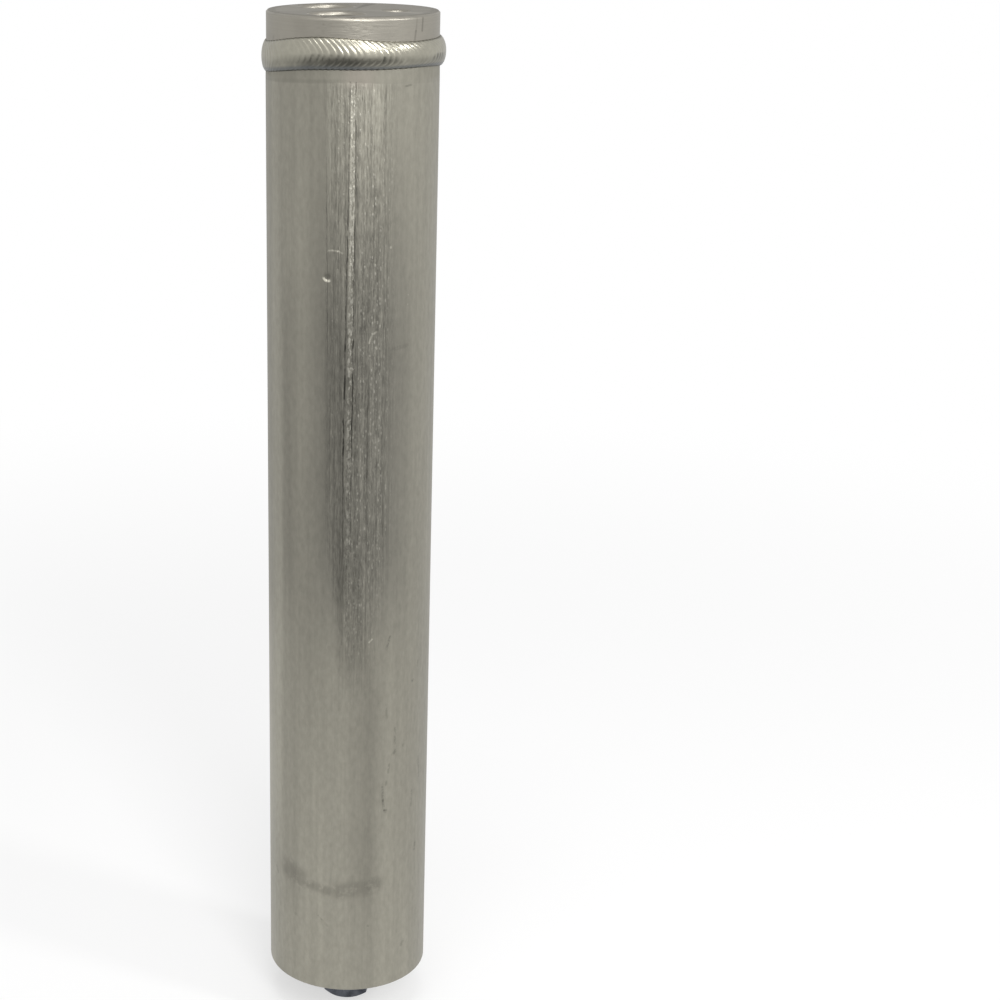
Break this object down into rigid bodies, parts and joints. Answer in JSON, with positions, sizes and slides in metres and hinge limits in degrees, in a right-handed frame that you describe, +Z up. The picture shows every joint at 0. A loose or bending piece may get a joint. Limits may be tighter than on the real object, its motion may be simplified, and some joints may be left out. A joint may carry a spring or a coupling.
{
  "type": "receiver drier",
  "caption": "Slim upright aluminium receiver drier: a can with a welded head that has stepped O-ring ports, a bolt hole and a hexagon plug below.",
  "frame": {"origin": "on the can's axis, level with the end of the plug under the can", "axes": "+Z up the can to the head, -Y towards the side that the picture shows, +X to its right"},
  "size_m": [0.0542, 0.0542, 0.3207],
  "materials": {
    "can": "drawn, with fine lengthwise lines",
    "head": "turned, fine rings on the face",
    "weld": "bright rippled weld",
    "tube": "drawn",
    "cage": "moulded",
    "screen": "fine screen",
    "plate": "zinc plated, pierced",
    "felt": "felt",
    "desiccant": "packed beads",
    "spring": "oiled spring wire",
    "plug": "dark plated",
    "core": "cast low-melting alloy",
    "washer": "soft copper"
  },
  "bodies": {
    "root": {"canister": "can", "head": "head", "weld_bead": "weld", "pickup_tube": "tube", "strainer_cage": "cage", "strainer_screen": "screen", "upper_plate": "plate", "lower_plate": "plate", "upper_filter_pad": "felt", "lower_filter_pad": "felt", "desiccant_bed": "desiccant", "packing_spring": "spring", "tube_lock_ring": "spring", "plug_body": "plug", "plug_core": "core", "plug_washer": "washer"}
  },
  "joints": []
}
